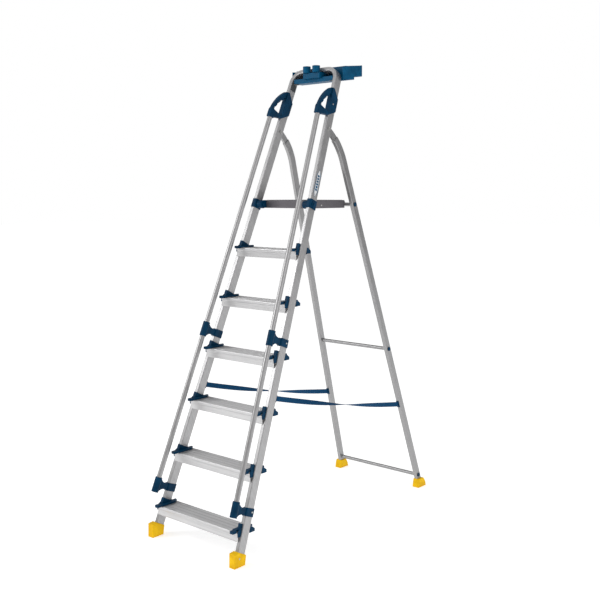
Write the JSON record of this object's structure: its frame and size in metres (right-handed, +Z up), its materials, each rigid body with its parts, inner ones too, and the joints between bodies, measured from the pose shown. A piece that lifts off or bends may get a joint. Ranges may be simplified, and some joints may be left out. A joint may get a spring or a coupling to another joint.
{
  "type": "step ladder",
  "caption": "Folding step ladder with wide treads, a lift-up platform, round handrails, hand grips and a tool tray behind the top hoop.",
  "frame": {"origin": "on the floor, at the centre of the open ladder's footprint", "axes": "+X to the right across the treads for a person facing them, +Y from the climbing side to the rear, +Z up"},
  "size_m": [0.585, 1.492, 2.256],
  "materials": {
    "aluminium_tube": "extruded, satin",
    "aluminium_round": "drawn, satin",
    "ribbed_aluminium": "extruded, ribbed",
    "coated_aluminium": "dark coated",
    "steel": "zinc plated",
    "blue_plastic": "moulded, fine grain",
    "blue_tray": "moulded, satin",
    "grey_plastic": "moulded",
    "yellow_rubber": "matt",
    "blue_webbing": "woven webbing"
  },
  "bodies": {
    "front_frame": {"d_grip_left": "blue_plastic", "d_grip_right": "blue_plastic", "frame_rivets": "steel", "front_boot_left": "yellow_rubber", "front_boot_right": "yellow_rubber", "front_stile_left": "aluminium_tube", "front_stile_right": "aluminium_tube", "handrail_left": "aluminium_round", "handrail_right": "aluminium_round", "hinge_pins": "steel", "hoop_spigots": "aluminium_tube", "lower_rail_clamp_left": "blue_plastic", "lower_rail_clamp_right": "blue_plastic", "middle_rail_clamp_left": "blue_plastic", "middle_rail_clamp_right": "blue_plastic", "platform_collar_left": "blue_plastic", "platform_collar_right": "blue_plastic", "platform_pins": "steel", "strap_left": "blue_webbing", "strap_plates_front": "grey_plastic", "strap_right": "blue_webbing", "tool_tray": "blue_tray", "top_hoop": "aluminium_tube", "tray_block": "blue_tray", "tray_cup_left": "blue_tray", "tray_cup_right": "blue_tray", "tray_supports": "grey_plastic", "tread_1": "ribbed_aluminium", "tread_2": "ribbed_aluminium", "tread_3": "ribbed_aluminium", "tread_4": "ribbed_aluminium", "tread_5": "ribbed_aluminium", "tread_6": "ribbed_aluminium", "tread_bracket_1_left": "blue_plastic", "tread_bracket_1_right": "blue_plastic", "tread_bracket_2_left": "blue_plastic", "tread_bracket_2_right": "blue_plastic", "tread_bracket_3_left": "blue_plastic", "tread_bracket_3_right": "blue_plastic", "tread_bracket_4_left": "blue_plastic", "tread_bracket_4_right": "blue_plastic", "tread_bracket_5_left": "blue_plastic", "tread_bracket_5_right": "blue_plastic", "tread_bracket_6_left": "blue_plastic", "tread_bracket_6_right": "blue_plastic"},
    "rear_frame": {"rear_foot_left": "yellow_rubber", "rear_foot_right": "yellow_rubber", "rear_rung_bottom": "aluminium_round", "rear_rung_middle": "aluminium_round", "rear_rung_top": "aluminium_round", "rear_stile_left": "aluminium_tube", "rear_stile_right": "aluminium_tube", "rung_plugs": "blue_plastic", "strap_plates_rear": "grey_plastic"},
    "platform": {"platform_pan": "coated_aluminium", "platform_hinge_block_left": "blue_plastic", "platform_hinge_block_right": "blue_plastic", "platform_hooks": "steel", "platform_rivets": "steel"}
  },
  "joints": [
    {"name": "rear_fold", "type": "hinge", "parent": "front_frame", "child": "rear_frame", "pos_m": [0, 0.03581, 1.92211], "axis": [-1, 0, 0], "range_deg": [0, 37], "deforming": ["strap_left", "strap_right"]},
    {"name": "platform_lift", "type": "hinge", "parent": "front_frame", "child": "platform", "pos_m": [0, -0.10734, 1.556], "axis": [1, 0, 0], "range_deg": [0, 66.6]}
  ],
  "couplings": [
    {"joint": "platform_lift", "follows": "rear_fold", "ratio": 1.8}
  ]
}
